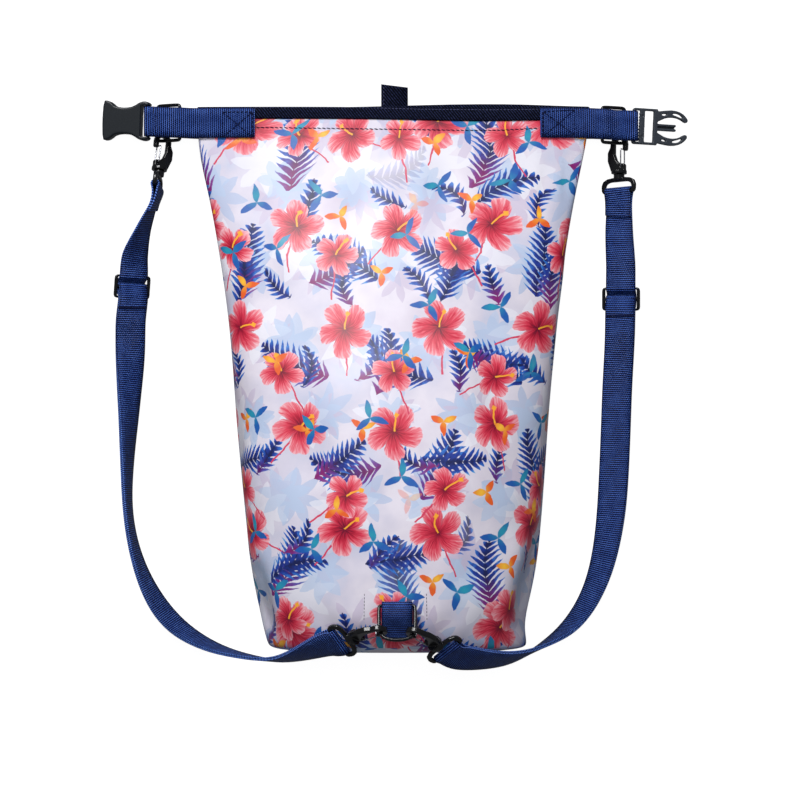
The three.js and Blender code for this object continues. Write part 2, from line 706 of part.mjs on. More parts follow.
// Straps: centre line with a rolled frame, looked up by length along it
const EYE_LEAD = 12;
function strapLine(rows, top, low, rollTop, rollLow) {
  const lead = top.bar.clone().addScaledVector(top.up, -EYE_LEAD);
  const tail = low.bar.clone().addScaledVector(low.up, -EYE_LEAD);
  const points = [top.bar.clone(), lead];
  const rolls = [rollTop, rollTop];
  rows.forEach((row) => {
    const station = named(STRAP_COLUMNS, row);
    points.push(new THREE.Vector3(station.x, station.y, station.z));
    rolls.push(station.roll);
  });
  points.push(tail, low.bar.clone());
  rolls.push(THREE.MathUtils.lerp(rollLow, rolls[rolls.length - 1], 0.08), rollLow);
  const curve = new THREE.CatmullRomCurve3(points, false, 'centripetal');
  const rollCurve = new THREE.SplineCurve(rolls.map((roll, i) => new THREE.Vector2(i, roll)));
  const samples = 900;
  const table = [];
  let run = 0;
  for (let i = 0; i <= samples; i++) {
    const t = i / samples;
    const point = curve.getPoint(t);
    if (i > 0) run += point.distanceTo(table[i - 1].point);
    table.push({ point, run, tangent: curve.getTangent(t), roll: rollCurve.getPoint(t).y });
  }
  const at = (s) => {
    const inside = THREE.MathUtils.clamp(s, 0, run);
    let i = table.findIndex((sample) => sample.run >= inside);
    i = Math.max(i, 1);
    const a = table[i - 1];
    const b = table[i];
    const share = (inside - a.run) / (b.run - a.run);
    const tangent = a.tangent.clone().lerp(b.tangent, share).normalize();
    const point = a.point.clone().lerp(b.point, share).addScaledVector(tangent, s - inside);
    const roll = THREE.MathUtils.degToRad(THREE.MathUtils.lerp(a.roll, b.roll, share));
    const level = tangent.clone().cross(new THREE.Vector3(0, 0, 1)).normalize();
    const rise = level.clone().cross(tangent);
    const across = level.clone().multiplyScalar(Math.cos(roll)).addScaledVector(rise, Math.sin(roll));
    const face = rise.clone().multiplyScalar(Math.cos(roll)).addScaledVector(level, -Math.sin(roll));
    return { point, tangent, across, face };
  };
  const runAtY = (y) => table.find((sample) => sample.point.y <= y).run;
  return { at, length: run, runAtY };
}

// Folds of a strap as (along, off) steps: along from the eye bar or the slider, off its centre line
const PLY = 0.85;
const EYE_FOLD = 3.3;
const SLOT_BEND = 2.12;
const BAR_BEND = 2.4;
const BAR_STEP = 8.9;
const DOUBLE_STEPS = 17;
const SINGLE_STEPS = 5;
const EYE_LEG = [[4.5, 2.1], [8, PLY + 0.7], [14, PLY + 0.05], [21, PLY]];
const MERGE = [[29, -0.3], [36, 0]];
const INTO_SLIDER = [[-24, 0.2], [-16, 1.5], [-11.5, 2.1], [-BAR_STEP, 2.15]];
const BEHIND_BAR = [[-5.6, -1.6], [-3.6, -3.2], [-1.4, -3.95], [1.4, -3.95], [3.8, -3.1], [5.8, -1.5]];
const OUT_OF_SLIDER = [[13, 1.95], [18, 1.5], [27, 0.2], [38, -PLY + 0.1], [48, -PLY]];
const BACK_TO_SLIDER = [[48, PLY], [38, PLY + 0.5], [27, 3.3], [18, 5.3], [13, 5.75], [8.5, 6], [4, 4.3]];
const SEWN_END = [[3.3, -0.9], [4.6, 0.5], [5.7, 2.5], [8.5, 4], [13, 3.8], [18, 3.4]];

function strapRun(line, slider) {
  const end = line.length;
  const from = (start, way, turn, steps) => steps.map(([along, off]) => [start + way * along, turn * off]);
  const level = (a, b, count, off) => Array.from({ length: count }, (_, i) => (
    [THREE.MathUtils.lerp(a, b, (i + 0.5) / count), off]));
  const doubleStart = slider + 52;
  const doubleEnd = end - 24;
  return pairs([
    ...from(0, 1, 1, EYE_LEG).reverse(),
    ...arc(0, 0, EYE_FOLD, 62, 298, 8),
    ...from(0, 1, -1, EYE_LEG),
    ...MERGE,
    ...level(40, slider - 26, SINGLE_STEPS, 0),
    ...from(slider, 1, 1, INTO_SLIDER),
    ...arc(slider - BAR_STEP, 0, SLOT_BEND, 60, 10, 2),
    ...from(slider, 1, 1, BEHIND_BAR),
    ...arc(slider + BAR_STEP, 0, SLOT_BEND, 190, 95, 4),
    ...from(slider, 1, 1, OUT_OF_SLIDER),
    ...level(doubleStart, doubleEnd, DOUBLE_STEPS, -PLY),
    ...from(end, -1, -1, EYE_LEG).reverse(),
    ...arc(end, 0, EYE_FOLD, -118, 118, 8),
    ...from(end, -1, 1, EYE_LEG),
    ...level(doubleStart, doubleEnd, DOUBLE_STEPS, PLY).reverse(),
    ...from(slider, 1, 1, BACK_TO_SLIDER),
    ...arc(slider, 0, BAR_BEND, 105, 300, 7),
    ...from(slider, 1, 1, SEWN_END),
  ]);
}

// Slider: rounded plate with two slots on either side of its centre bar
const SLIDER = { width: 32.4, height: 19.8, thick: 2, corner: 3.2, slotHalf: 13.2, bar: 1.15, slotEnd: 7.95 };

function sliderShape() {
  const shape = new THREE.Shape();
  const w = SLIDER.width / 2;
  const h = SLIDER.height / 2;
  const r = SLIDER.corner;
  shape.moveTo(-w + r, -h);
  shape.lineTo(w - r, -h);
  shape.quadraticCurveTo(w, -h, w, -h + r);
  shape.lineTo(w, h - r);
  shape.quadraticCurveTo(w, h, w - r, h);
  shape.lineTo(-w + r, h);
  shape.quadraticCurveTo(-w, h, -w, h - r);
  shape.lineTo(-w, -h + r);
  shape.quadraticCurveTo(-w, -h, -w + r, -h);
  [[SLIDER.bar, SLIDER.slotEnd], [-SLIDER.slotEnd, -SLIDER.bar]].forEach(([low, high]) => {
    const slot = new THREE.Path();
    slot.moveTo(-SLIDER.slotHalf, low);
    slot.lineTo(-SLIDER.slotHalf, high);
    slot.lineTo(SLIDER.slotHalf, high);
    slot.lineTo(SLIDER.slotHalf, low);
    shape.holes.push(slot);
  });
  return shape;
}

const STRAPS = {
  left: { rows: STRAP_LEFT_ROWS, sliderY: 77.5, rollTop: 84, rollLow: 150 },
  right: { rows: STRAP_RIGHT_ROWS, sliderY: 67.5, rollTop: -38, rollLow: -152 },
};
Object.entries(STRAPS).forEach(([name, strap]) => {
  const top = eyes[`top_${name}`];
  const low = eyes[`low_${name}`];
  const line = strapLine(strap.rows, top, low, strap.rollTop, strap.rollLow);
  const sliderRun = line.runAtY(strap.sliderY);
  addEye(`top_${name}`, line.at(0).across);
  addEye(`low_${name}`, line.at(line.length).across);
  add(`strap_${name}`, webbing(strapRun(line, sliderRun), WEB_WIDTH, WEB_THICK, (s, off, across) => {
    const spot = line.at(s);
    return spot.point.addScaledVector(spot.face, off).addScaledVector(spot.across, across);
  }), 'webbing');
  const spot = line.at(sliderRun);
  const up = spot.tangent.clone().negate();
  const frame = new THREE.Matrix4().makeBasis(spot.across.clone().negate(), up, spot.face);
  frame.setPosition(spot.point);
  add(`slider_${name}`, plate(sliderShape(), SLIDER.thick, 0.5, 3).applyMatrix4(frame), 'plastic');
});

// Buckle halves: drawn with the webbing bar at the origin and +x away from the bag
function curveThrough(points) {
  return new THREE.SplineCurve(pairs(points)).getPoints(Math.round(points.length * 1.3));
}

function femaleShape() {
  const flank = curveThrough([
    [-1.5, 14.4], [0.4, 16.2], [4, 16.4], [8, 15], [12, 12.4], [17, 11.1], [23, 11], [28, 12.2],
    [31, 14.6], [34, 16.4], [37.4, 16.6],
  ]);
  const shape = new THREE.Shape();
  shape.setFromPoints([
    ...flank,
    ...pairs([[38.4, 12], [38.8, 4], [38.8, -4], [38.4, -12]]),
    ...flank.map((p) => new THREE.Vector2(p.x, -p.y)).reverse(),
  ]);
  return shape;
}

function femaleBody() {
  const shell = solid(plate(femaleShape(), 11, 0.9));
  const barSpace = [box(-4, 5.8, -13.2, 13.2, 1.3, 8), box(-4, 5.8, -13.2, 13.2, -8, -1.3)];
  const slot = box(1.5, 5.8, -13.2, 13.2, -8, 8);
  const pocket = [box(14, 40, -9.4, 9.4, -3.3, 3.3), box(30.5, 40, -14, 14, -3.3, 3.3)];
  const windows = [box(15.5, 26, 8, 14, -2.6, 2.6), box(15.5, 26, -14, -8, -2.6, 2.6)];
  const cuts = [...barSpace, slot, ...pocket, ...windows];
  return geometryOf(cuts.reduce((body, cut) => body.subtract(solid(cut)), shell));
}

function maleShape() {
  const prong = [
    ...curveThrough([[20.4, 13.4], [26, 14.3], [33, 15], [39, 14], [44, 11.2], [46.9, 7.4]]),
    ...pairs([[46.4, 5.4], [44.6, 4.9]]),
    ...curveThrough([[43, 5.6], [39, 7.9], [33, 8.8], [27, 7.8], [22.5, 5.6], [20.4, 4.6]]),
  ];
  const guide = pairs([[20.4, 2.9], [36.2, 2.9], [36.8, 1.9], [36.2, 0.8], [20.4, 0.8]]);
  const half = [...pairs([[-1.5, 13.6], [0, 15.2], [20.4, 15.2]]), ...prong, ...guide];
  const shape = new THREE.Shape();
  shape.setFromPoints([...half, ...half.map((p) => new THREE.Vector2(p.x, -p.y)).reverse()]);
  [1, -1].forEach((side) => {
    const small = curveThrough([[23, 10.8], [25.4, 11.4], [28.6, 11.5], [26, 9.9], [23, 10.8]]);
    const large = curveThrough([[32.4, 11.5], [36, 12.4], [40.4, 11], [42.4, 8.4], [37, 10.2], [32.4, 11.5]]);
    [small, large].forEach((points) => {
      const hole = new THREE.Path();
      hole.setFromPoints(points.slice(0, -1).map((p) => new THREE.Vector2(p.x, side * p.y)));
      shape.holes.push(hole);
    });
  });
  return shape;
}

function maleBody() {
  const frame = solid(plate(maleShape(), 4.2, 0.4, 4));
  const dimples = [8.6, -8.6].map((y) => {
    const dimple = new THREE.CylinderGeometry(1.3, 1.3, 2, 8).rotateX(Math.PI / 2);
    return solid(dimple.translate(7.1, y, 2.5));
  });
  const barSpace = [box(-4, 5.1, -13.1, 13.1, 1.3, 4), box(-4, 5.1, -13.1, 13.1, -4, -1.3)];
  const slots = [box(1.5, 5.2, -13.1, 13.1, -4, 4), box(9, 17, -13.1, 13.1, -4, 4)];
  const tools = [...dimples, ...[...barSpace, ...slots].map(solid)];
  const cut = tools.reduce((body, tool) => body.subtract(tool), frame);
  return geometryOf(cut);
}

const BUCKLES = {
  buckle_female: { tail: TAILS.left, make: femaleBody, droop: 11, swing: -2 },
  buckle_male: { tail: TAILS.right, make: maleBody, droop: 13, swing: -2.6 },
};
Object.entries(BUCKLES).forEach(([name, { tail, make, droop, swing }]) => {
  const geometry = make();
  if (tail.side < 0) geometry.rotateZ(Math.PI);
  geometry.rotateY(tail.side * THREE.MathUtils.degToRad(droop));
  geometry.rotateZ(THREE.MathUtils.degToRad(swing));
  geometry.translate(tail.side * tail.bar, sheared(tail, tail.bar), TAIL_BAR_Z);
  add(name, geometry, 'plastic');
});

export default group;
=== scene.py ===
import bpy
import bmesh
import math
import numpy as np
from mathutils import Matrix, Vector, noise
from mathutils.bvhtree import BVHTree


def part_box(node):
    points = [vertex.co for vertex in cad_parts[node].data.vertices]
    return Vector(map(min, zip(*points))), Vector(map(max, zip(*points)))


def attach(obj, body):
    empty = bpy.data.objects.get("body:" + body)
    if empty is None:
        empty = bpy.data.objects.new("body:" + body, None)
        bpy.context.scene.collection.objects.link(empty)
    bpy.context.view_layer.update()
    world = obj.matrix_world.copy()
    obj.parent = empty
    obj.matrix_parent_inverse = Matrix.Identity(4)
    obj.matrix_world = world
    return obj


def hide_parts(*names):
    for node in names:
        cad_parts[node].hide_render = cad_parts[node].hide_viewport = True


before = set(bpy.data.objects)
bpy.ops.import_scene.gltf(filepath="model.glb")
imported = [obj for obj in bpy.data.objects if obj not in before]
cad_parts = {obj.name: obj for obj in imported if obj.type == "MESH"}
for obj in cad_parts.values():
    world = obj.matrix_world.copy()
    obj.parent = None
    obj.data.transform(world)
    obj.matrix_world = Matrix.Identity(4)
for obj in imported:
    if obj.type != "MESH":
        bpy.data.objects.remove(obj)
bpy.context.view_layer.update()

# Camera: straight down from three metres, as a flat-lay picture of a bag on a table is taken.
# One pixel is about 0.84 mm on the floor; the bag's mouth is at the top of the picture.
PICTURE_PX = 800
FOCAL_PX = 3553.6
SENSOR_MM = 36
CAMERA_PLACE = (0.0059, -0.0176, 3.0)
camera_data = bpy.data.cameras.new("flat_lay_camera")
camera_data.sensor_width = SENSOR_MM
camera_data.lens = FOCAL_PX / PICTURE_PX * SENSOR_MM
camera_data.clip_end = 20
camera = bpy.data.objects.new("flat_lay_camera", camera_data)
camera.location = CAMERA_PLACE
bpy.context.collection.objects.link(camera)
bpy.context.scene.camera = camera

# Bag cloth: a tube of coated, printed cloth, closed by a base panel, part filled and lying on its back.
# The wall is the solid's own, rounded, printed on both faces, with the soft folds that a slack bag has.
# Each fold is a shallow trough along a line, with a low bank on either side of it.
FOLDS = [
    # start x, start y, end x, end y, width, depth in mm
    (121, -128, 103, -204, 8, 5.0),
    (-112, -160, -104, -214, 7, 4.0),
    (132, 196, 124, 140, 5, 2.2),
    (142, 198, 146, 150, 5, 2.0),
    (-118, 170, -104, 60, 12, 1.8),
    (-60, -196, -30, -214, 8, 1.4),
    (52, -190, 34, -216, 7, 1.2),
    (-84, 20, -70, -110, 16, 2.6),
    (74, 60, 92, -70, 15, 2.8),
    (-20, 190, -34, 110, 12, 1.1),
    (46, 196, 40, 120, 11, 1.2),
]
FOLD_BANK = 0.45
# Fine rumples between the folds: waves to the metre, depth in metres
RUMPLES = [(15, 0.0034), (38, 0.0012)]
# The cloth is smooth past these levels of y, and the folds die out over these lengths before them
SMOOTH_MOUTH, MOUTH_FADE = 0.205, 0.03
SMOOTH_BASE, BASE_FADE = -0.222, 0.02
# The folds are on the front only, full at this height above the sides, and push sideways in this share
FRONT_FADE = 0.012
SIDEWAYS = 0.6


def welded(node):
    """Copy of a solid's mesh with its shared corners welded"""
    shape = bmesh.new()
    shape.from_mesh(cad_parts[node].data)
    bmesh.ops.remove_doubles(shape, verts=shape.verts, dist=1e-6)
    return shape


def paired(shape):
    """Joins the triangles of a lofted shape into the quads that they halve"""
    limit = math.radians(70)
    bmesh.ops.join_triangles(
        shape, faces=shape.faces, angle_face_threshold=limit, angle_shape_threshold=limit
    )


def stored(name, shape):
    """New mesh from a finished bmesh, shaded smooth"""
    mesh = bpy.data.meshes.new(name)
    shape.to_mesh(mesh)
    shape.free()
    mesh.shade_smooth()
    return mesh


def finished(name, mesh, kind, **settings):
    """Mesh of a piece after one modifier with these settings has been applied to it"""
    holder = bpy.data.objects.new(name, mesh)
    bpy.context.collection.objects.link(holder)
    finish = holder.modifiers.new("finish", kind)
    for key, value in settings.items():
        setattr(finish, key, value)
    depsgraph = bpy.context.evaluated_depsgraph_get()
    result = bpy.data.meshes.new_from_object(holder.evaluated_get(depsgraph))
    bpy.data.objects.remove(holder)
    return result


def rounded(name, mesh, levels):
    """Mesh of a piece after its rounding has been applied to it"""
    return finished(name, mesh, "SUBSURF", levels=levels, render_levels=levels)


def placed(name, mesh, body, slot, surface, *nodes):
    """Object of a finished piece, tied to its body, with its solids hidden; the slot argument is not used
    """
    piece = bpy.data.objects.new(name, mesh)
    bpy.context.collection.objects.link(piece)
    mesh.materials.append(surface)
    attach(piece, body)
    if nodes:
        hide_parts(*nodes)
    return piece


def subdivided(piece, levels):
    """Live rounding on a piece"""
    rounding = piece.modifiers.new("rounding", "SUBSURF")
    rounding.levels = levels
    rounding.render_levels = levels


bag_shape = welded("bag_body")
paired(bag_shape)
bag_mesh = rounded("bag_cloth", stored("bag_cloth", bag_shape), 2)
spots = np.empty(len(bag_mesh.vertices) * 3)
bag_mesh.vertices.foreach_get("co", spots)
spots = spots.reshape(-1, 3)

# Half widths and heights of the bag at a run of cross-sections
SECTIONS = 60
SECTION_REACH = 0.007
SIDE_SHARE = 0.97
stations = np.linspace(spots[:, 1].min(), spots[:, 1].max(), SECTIONS)
outline = []
for station in stations:
    band = spots[np.abs(spots[:, 1] - station) < SECTION_REACH]
    left, right = -band[:, 0].min(), band[:, 0].max()
    sides = band[np.abs(band[:, 0]) > SIDE_SHARE * min(left, right)]
    outline.append((left, right, sides[:, 2].mean(), band[:, 2].max(), band[:, 2].min()))
outline = np.array(outline)

# Left and right half width, height of the sides, top and bottom of the bag at every point
left, right, middle, top, bottom = [np.interp(spots[:, 1], stations, column) for column in outline.T]
half = np.where(spots[:, 0] < 0, left, right)
push = np.zeros(len(spots))
for x0, y0, x1, y1, width, depth in FOLDS:
    start, run = np.array([x0, y0]) / 1000, np.array([x1 - x0, y1 - y0]) / 1000
    along = np.clip((spots[:, :2] - start) @ run / (run @ run), 0, 1)
    away = np.linalg.norm(spots[:, :2] - start - along[:, None] * run, axis=1) / (width / 1000)
    ends = np.sin(np.pi * np.clip(along, 0.06, 0.94)) ** 0.5
    push -= depth / 1000 * ends * (np.exp(-away**2) - FOLD_BANK * np.exp(-((away - 2) ** 2)))
for index, spot in enumerate(spots):
    place = Vector(spot)
    push[index] += sum(depth * noise.noise(place * scale) for scale, depth in RUMPLES)
push *= np.clip((SMOOTH_MOUTH - spots[:, 1]) / MOUTH_FADE, 0, 1)
push *= np.clip((spots[:, 1] - SMOOTH_BASE) / BASE_FADE, 0, 1)
push *= np.clip((spots[:, 2] - middle) / FRONT_FADE, 0, 1)
outward = np.stack([spots[:, 0] * SIDEWAYS, np.zeros(len(spots)), spots[:, 2] - middle], axis=1)
outward /= np.linalg.norm(outward, axis=1)[:, None] + 1e-9
spots = spots + outward * push[:, None]
bag_mesh.vertices.foreach_set("co", spots.ravel())


def arc(angle, across, up, count=24):
    """Length along an ellipse from its crown to an angle, summed over a count of steps"""
    steps = (np.arange(count) + 0.5) / count * angle[:, None]
    return np.hypot(across[:, None] * np.cos(steps), up[:, None] * np.sin(steps)).mean(axis=1) * angle


# The cloth's own measure, in metres: across from the front's centre line, along the bag's length
quarter = np.full(len(spots), math.pi / 2)
rise, fall = np.maximum(top - middle, 1e-4), np.maximum(middle - bottom, 1e-4)
front = spots[:, 2] >= middle
front_angle = np.arctan2(np.abs(spots[:, 0]) / half, np.maximum(spots[:, 2] - middle, 0) / rise)
back_angle = np.arctan2(np.abs(spots[:, 0]) / half, np.maximum(middle - spots[:, 2], 0) / fall)
over_front = arc(front_angle, half, rise)
over_back = arc(quarter, half, rise) + arc(quarter, half, fall) - arc(back_angle, half, fall)
cloth_u = np.where(front, over_front, over_back)
# The base panel is measured on from its front edge, which has this y and z
BASE_EDGE, BASE_TOP = -0.225, 0.1
BASE_FACING = -0.75
cloth = bag_mesh.uv_layers.new(name="cloth")
for face in bag_mesh.polygons:
    base = face.normal.y < BASE_FACING
    side = math.copysign(1, face.center.x)
    for loop in face.loop_indices:
        index = bag_mesh.loops[loop].vertex_index
        x, y, z = spots[index]
        if base:
            cloth.data[loop].uv = (x, BASE_EDGE - (BASE_TOP - z))
        elif front[index]:
            cloth.data[loop].uv = (math.copysign(cloth_u[index], x), y)
        else:
            cloth.data[loop].uv = (side * cloth_u[index], y)


def dye(red, green, blue):
    """Linear colour of a screen colour"""
    return tuple(((c / 255 + 0.055) / 1.055) ** 2.4 for c in (red, green, blue)) + (1,)


class Dye:
    """A value in a material: operators on it add Math nodes, node() adds any other node"""

    def __init__(self, tree, socket):
        self.tree = tree
        self.socket = socket

    def node(self, kind, inputs, output=0, stops=(), **settings):
        made = self.tree.nodes.new(kind)
        for key, value in settings.items():
            setattr(made, key, value)
        for index, (place, colour) in enumerate(stops):
            ramp = made.color_ramp.elements
            stop = ramp[index] if index < len(ramp) else ramp.new(place)
            stop.position = place
            stop.color = colour
        for key, value in inputs.items():
            if isinstance(value, Dye):
                self.tree.links.new(value.socket, made.inputs[key])
            else:
                made.inputs[key].default_value = value
        return Dye(self.tree, made.outputs[output])

    def math(self, operation, *values):
        return self.node("ShaderNodeMath", dict(enumerate(values)), operation=operation)

    def __add__(self, other):
        return self.math("ADD", self, other)

    def __sub__(self, other):
        return self.math("SUBTRACT", self, other)

    def __rsub__(self, other):
        return self.math("SUBTRACT", other, self)

    def __mul__(self, other):
        return self.math("MULTIPLY", self, other)

    def __truediv__(self, other):
        return self.math("DIVIDE", self, other)

    def __pow__(self, other):
        return self.math("POWER", self, other)

    def __abs__(self):
        return self.math("ABSOLUTE", self)

    __radd__ = __add__
    __rmul__ = __mul__

    def floor(self):
        return self.math("FLOOR", self)

    def fract(self):
        return self.math("FRACT", self)

    def sin(self):
        return self.math("SINE", self)

    def cos(self):
        return self.math("COSINE", self)

    def root(self):
        return self.math("SQRT", self)

    def least(self, other):
        return self.math("MINIMUM", self, other)

    def most(self, other):
        return self.math("MAXIMUM", self, other)

    def bearing(self, other):
        return self.math("ARCTAN2", self, other)

    def rising(self, low, high):
        limits = {0: self, 1: low, 2: high, 3: 0.0, 4: 1.0}
        return self.node("ShaderNodeMapRange", limits, interpolation_type="SMOOTHSTEP")

    def under(self, limit, soft=0.3):
        return 1 - (self - limit).rising(-soft, soft)

    def vector(self, y, z):
        return self.node("ShaderNodeCombineXYZ", {0: self, 1: y, 2: z})

    def cloud(self, y, z, scale, detail=2.0):
        inputs = {"Vector": self.vector(y, z), "Scale": scale, "Detail": detail}
        return self.node("ShaderNodeTexNoise", inputs)

    def ramp(self, *stops):
        return self.node("ShaderNodeValToRGB", {0: self}, stops=stops)

    def over(self, share, other):
        return self.node("ShaderNodeMix", {0: share, 6: self, 7: other}, 2, data_type="RGBA")


def material(name, uv=None):
    """New material: its shader, and the measures in mm of a UV map or of the object's own frame"""
    made = bpy.data.materials.new(name)
    made.use_nodes = True
    tree = made.node_tree
    shader = tree.nodes["Principled BSDF"]
    source = tree.nodes.new("ShaderNodeUVMap" if uv else "ShaderNodeTexCoord")
    if uv:
        source.uv_map = uv
    split = tree.nodes.new("ShaderNodeSeparateXYZ")
    tree.links.new(source.outputs["UV" if uv else "Object"], split.inputs[0])
    return made, shader, [Dye(tree, socket) * 1000 for socket in split.outputs]


def joined(shader, **inputs):
    """Sets or links the named inputs of a shader"""
    for key, value in inputs.items():
        socket = shader.inputs[key.replace("_", " ")]
        if isinstance(value, Dye):
            value.tree.links.new(value.socket, socket)
        else:
            socket.default_value = value


def scattered(u, v, wide, tall, seed, roam, lean, sway):
    """Place on the nearest motif of a staggered, jittered grid, and the motif's own random numbers"""
    row = (v / tall).floor()
    along = u / wide + (row * 0.5).fract()
    column = along.floor()
    cell = column.vector(row, seed)
    draw = u.node("ShaderNodeTexWhiteNoise", {"Vector": cell}, "Color", noise_dimensions="3D")
    first, second, third = [u.node("ShaderNodeSeparateColor", {0: draw}, index) for index in range(3)]
    x = (along - column - 0.5) * wide + (first - 0.5) * roam
    y = (v / tall - row - 0.5) * tall + (second - 0.5) * roam
    turn = (third - 0.5) * sway + lean
    return x * turn.cos() + y * turn.sin(), y * turn.cos() - x * turn.sin(), first, second, third


def rosette(x, y, chance, size, leaves, slim):
    """Fan of pointed leaves round one foot, as a mask"""
    reach = (x * x + y * y).root()
    turn = (x.bearing(y) * (leaves / math.tau) + chance).fract() - 0.5
    across = abs(reach * (turn * (math.tau / leaves)).sin())
    length = size * (0.72 + 0.28 * chance)
    share = (reach / length).least(1.0)
    return (across - slim * (share * math.pi).sin() ** 0.8).under(0) * reach.under(length)


def frond(x, y, length, width, pitch, bend):
    """Feather-shaped palm leaf: its mask, and how far out along a leaflet and up the spine a point is"""
    share = y / length + 0.5
    inside = (share * (1 - share) * 4).most(0.0)
    off = x - bend * (share - 0.5) * (share - 0.5) * 4
    out = abs(off) / (width * inside**0.55 + 0.01)
    step = ((y - abs(off) * 0.8) / pitch).fract() - 0.5
    leaflets = (abs(step) - 0.43 * (1 - out * out)).under(0, 0.06) * out.under(1.0, 0.05)
    spine = abs(off).under(0.55)
    return leaflets.most(spine) * (inside - 0.01).rising(0, 0.02), out, share


def blossom(x, y, chance, size):
    """Open five-petalled flower: its mask and its colour"""
    reach = (x * x + y * y).root()
    turn = x.bearing(y) + reach * 0.014
    petal = (turn * (5 / math.tau) + chance * 5).fract() - 0.5
    notch = abs(petal) * 2
    ruffle = x.cloud(y, 3.0, 0.3) - 0.5
    edge = size * (1 - notch**3 * 0.48) + ruffle * 4
    streak = (petal * 16).cloud(reach * 0.09, chance * 40, 1.0, 3.0)
    tone = reach / edge * 0.8 + (streak - 0.5) * 0.95
    colour = tone.ramp(
        (0.0, dye(84, 10, 42)),
        (0.2, dye(170, 20, 50)),
        (0.45, dye(214, 56, 80)),
        (0.68, dye(228, 118, 132)),
        (0.95, dye(240, 198, 206)),
    )
    colour = colour.over(notch.rising(0.75, 1.0) * 0.55, dye(168, 26, 60))
    return (reach - edge).under(0), colour


print_cloth, print_shader, (u_mm, v_mm, _) = material("printed_cloth", "cloth")

# The paint runs a little, so outlines waver by this many millimetres, on a ground of pale washes
RUN_MM = 5
u_wet = u_mm + (u_mm.cloud(v_mm, 0.0, 0.07, 3.0) - 0.5) * RUN_MM
v_wet = v_mm + (u_mm.cloud(v_mm, 50.0, 0.07, 3.0) - 0.5) * RUN_MM
wash = u_mm.cloud(v_mm, 20.0, 0.018, 4.0)
colour = wash.ramp(
    (0.3, dye(186, 194, 218)),
    (0.44, dye(206, 202, 219)),
    (0.58, dye(222, 216, 228)),
    (0.75, dye(208, 199, 216)),
)

# Pale leaf shadows in four tints, the farthest layer of the print
for seed, wide, tall, size, slim, tint in (
    (11.0, 58, 62, 27, 4.6, dye(168, 186, 218)),
    (17.0, 66, 58, 26, 3.6, dye(196, 184, 208)),
    (23.0, 74, 70, 31, 5.4, dye(228, 228, 238)),
    (29.0, 60, 66, 24, 5.0, dye(180, 198, 226)),
):
    x, y, _, _, third = scattered(u_wet, v_wet, wide, tall, seed, 10, 0.0, 6.28)
    colour = colour.over(rosette(x, y, third, size, 7, slim) * (0.35 + 0.6 * wash), tint)

# Palm leaves in blue, each one running from navy at the spine to cyan at the tips
for seed, wide, tall, length, width, lean in (
    (31.0, 82, 86, 64, 17, 0.5),
    (37.0, 88, 78, 56, 14, -0.9),
    (39.0, 64, 72, 36, 9, 0.2),
):
    x, y, first, second, _ = scattered(u_wet + 41, v_wet + 30, wide, tall, seed, 12, lean, 1.9)
    mask, out, share = frond(x, y, length, width, 5.6, (second - 0.5) * 26)
    grain = x.cloud(y, 9.0, 0.2, 3.0)
    blues = (out * 0.7 + (grain - 0.5) * 0.9).ramp(
        (0.0, dye(22, 30, 80)),
        (0.3, dye(32, 58, 150)),
        (0.55, dye(48, 112, 198)),
        (1.0, dye(124, 204, 232)),
    )
    blues = blues.over(share.rising(0.55, 0.1) * first.rising(0.4, 0.7) * 0.7, dye(150, 30, 110))
    colour = colour.over(mask * first.rising(0.12, 0.16), blues)

# Open blossoms in coral and pink, each on a thin curved stem, with orange stamens
for seed, wide, tall, size, shift in ((41.0, 84, 84, 23, 0.0), (43.0, 92, 100, 18, 44.0)):
    x, y, _, second, third = scattered(u_wet + shift, v_wet + shift, wide, tall, seed, 12, 0.0, 2.6)
    curve = (y + size) * (y + size) * 0.012 * (second - 0.5)
    stem = abs(x - curve).under(0.7) * y.under(0.0) * (0 - y).under(38.0)
    colour = colour.over(stem, dye(206, 60, 92))
    mask, petals = blossom(x, y, third, size)
    colour = colour.over(mask, petals)
    stamen = abs(x - y * y * 0.02).under(0.7) * abs(y - 7).under(7.0)
    pollen = (abs(x - 3.6) + abs(y - 13.5)).under(2.4, 0.6)
    colour = colour.over(stamen.most(pollen), dye(246, 170, 50))

# Small buds in yellow and orange and small turquoise leaves between the large motifs
for seed, wide, tall, size, slim, near, far in (
    (53.0, 56, 60, 9.0, 2.6, dye(244, 190, 60), dye(226, 96, 40)),
    (59.0, 52, 48, 12.0, 2.8, dye(40, 150, 176), dye(30, 90, 170)),
):
    x, y, first, _, _ = scattered(u_wet + 13, v_wet + 7, wide, tall, seed, 16, 0.3, 3.2)
    reach = (x * x + y * y).root()
    bud = rosette(x, y + size * 0.5, 0.5, size * 1.5, 3, slim) * (first - 0.35).rising(0, 0.02)
    colour = colour.over(bud, (reach / size).ramp((0.0, near), (1.0, far)))

# The weave shows through the coating, one thread to this many millimetres
THREAD_MM = 0.9
weave = (u_mm * (math.tau / THREAD_MM)).sin() * (v_mm * (math.tau / THREAD_MM)).sin()
bump = u_mm.node("ShaderNodeBump", {"Strength": 0.12, "Distance": 0.0002, "Height": weave})
joined(print_shader, Base_Color=colour, Roughness=wash * 0.2 + 0.26, Normal=bump, Specular_IOR_Level=0.5)
bag = placed("bag_cloth", bag_mesh, "bag", "printed_fabric", print_cloth, "bag_body")
subdivided(bag, 1)

